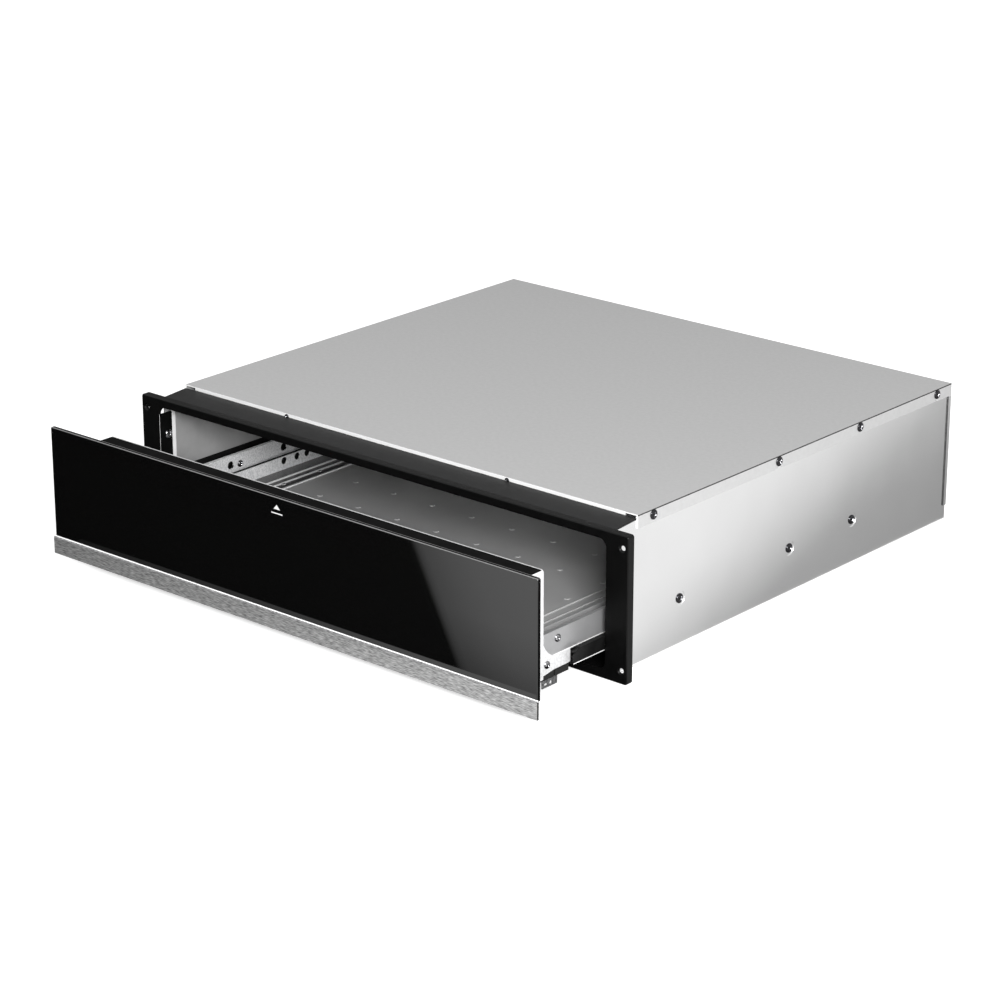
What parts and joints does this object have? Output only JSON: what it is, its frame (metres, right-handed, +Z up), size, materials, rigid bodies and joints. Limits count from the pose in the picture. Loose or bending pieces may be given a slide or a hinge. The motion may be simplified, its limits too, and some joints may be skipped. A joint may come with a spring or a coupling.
{
  "type": "built in warming drawer",
  "caption": "Built in warming drawer with a black glass front on telescopic slides, in a sheet metal housing with a black front frame.",
  "frame": {"origin": "middle of the underside of the base plate", "axes": "+X to the viewer's right, +Y to the back of the niche, +Z up; stored with the drawer 110 mm open, as in the picture"},
  "size_m": [0.595, 0.6491, 0.14],
  "materials": {
    "housing_steel": "satin galvanised sheet",
    "cover_steel": "satin coated sheet",
    "frame_black": "semi-gloss black powder coat",
    "rail_black": "satin black powder coat",
    "front_glass": "gloss black tempered glass",
    "strip_steel": "brushed along its length",
    "box_paint": "satin black outside, light steel sides",
    "galvanised": "bright galvanised",
    "floor_steel": "dark mirror-smooth sheet",
    "screw_steel": "bright zinc plated",
    "ball_steel": "polished bearing steel",
    "cage_plastic": "natural moulded plastic",
    "black_plastic": "matt moulded plastic",
    "control_plastic": "gloss moulded plastic",
    "lamp_plastic": "clear amber-red lens",
    "bumper_rubber": "soft black rubber",
    "motor_steel": "grey enamelled",
    "fan_alloy": "pressed plain",
    "heater_steel": "dull sheathed tube",
    "mineral_board": "pressed mineral fibre"
  },
  "bodies": {
    "housing": {"base_plate": "housing_steel", "left_side_wall": "housing_steel", "right_side_wall": "housing_steel", "rear_panel": "housing_steel", "top_cover": "cover_steel", "front_frame": "frame_black", "front_rail": "rail_black", "fan_housing": "housing_steel", "fan_motor": "motor_steel", "push_latch_body": "black_plastic", "terminal_box": "black_plastic", "mains_gland": "black_plastic", "gland_nut": "black_plastic", "cover_side_screws": "screw_steel", "cover_lip_screws": "screw_steel", "slide_screws": "screw_steel", "frame_side_screws": "screw_steel", "rear_screws": "screw_steel", "left_slide_outer": "galvanised", "right_slide_outer": "galvanised"},
    "drawer": {"left_slide_inner": "galvanised", "right_slide_inner": "galvanised", "front_glass": "front_glass", "handle_strip": "strip_steel", "door_inner_box": "box_paint", "left_door_bracket": "galvanised", "right_door_bracket": "galvanised", "adjuster_tabs": "galvanised", "door_latches": "black_plastic", "door_bumpers": "bumper_rubber", "left_side_rail": "galvanised", "right_side_rail": "galvanised", "rail_screws": "screw_steel", "drawer_rear_rail": "galvanised", "drawer_pan": "galvanised", "floor_plate": "floor_steel", "insulation_board": "mineral_board", "heating_element": "heater_steel", "thermostat_body": "black_plastic", "switch_body": "black_plastic", "pilot_lamp": "lamp_plastic"},
    "left_slide": {"left_slide_middle": "galvanised", "left_slide_balls": "ball_steel", "left_ball_cages": "cage_plastic"},
    "right_slide": {"right_slide_middle": "galvanised", "right_slide_balls": "ball_steel", "right_ball_cages": "cage_plastic"},
    "fan": {"fan_wheel": "fan_alloy"},
    "plunger": {"push_latch_plunger": "cage_plastic"},
    "knob": {"thermostat_knob": "control_plastic"},
    "rocker": {"switch_rocker": "control_plastic"}
  },
  "joints": [
    {"name": "drawer_slide", "type": "slide", "parent": "housing", "child": "drawer", "axis": [0, -1, 0], "range_m": [-0.11, 0.24]},
    {"name": "left_slide_run", "type": "slide", "parent": "housing", "child": "left_slide", "axis": [0, -1, 0], "range_m": [-0.055, 0.12]},
    {"name": "right_slide_run", "type": "slide", "parent": "housing", "child": "right_slide", "axis": [0, -1, 0], "range_m": [-0.055, 0.12]},
    {"name": "fan_spin", "type": "hinge", "parent": "housing", "child": "fan", "pos_m": [0, 0.21, 0.083], "axis": [0, 1, 0], "continuous": true},
    {"name": "plunger_press", "type": "slide", "parent": "housing", "child": "plunger", "axis": [0, 1, 0], "range_m": [0, 0.006], "stiffness_N_per_m": 300, "springref_m": -0.003},
    {"name": "knob_turn", "type": "hinge", "parent": "drawer", "child": "knob", "pos_m": [0.14, -0.335, 0.08], "axis": [0, 1, 0], "range_deg": [0, 270]},
    {"name": "rocker_tip", "type": "hinge", "parent": "drawer", "child": "rocker", "pos_m": [-0.135, -0.336, 0.08], "axis": [1, 0, 0], "range_deg": [-14, 0]}
  ],
  "couplings": [
    {"joint": "left_slide_run", "follows": "drawer_slide", "ratio": 0.5},
    {"joint": "right_slide_run", "follows": "drawer_slide", "ratio": 0.5}
  ]
}
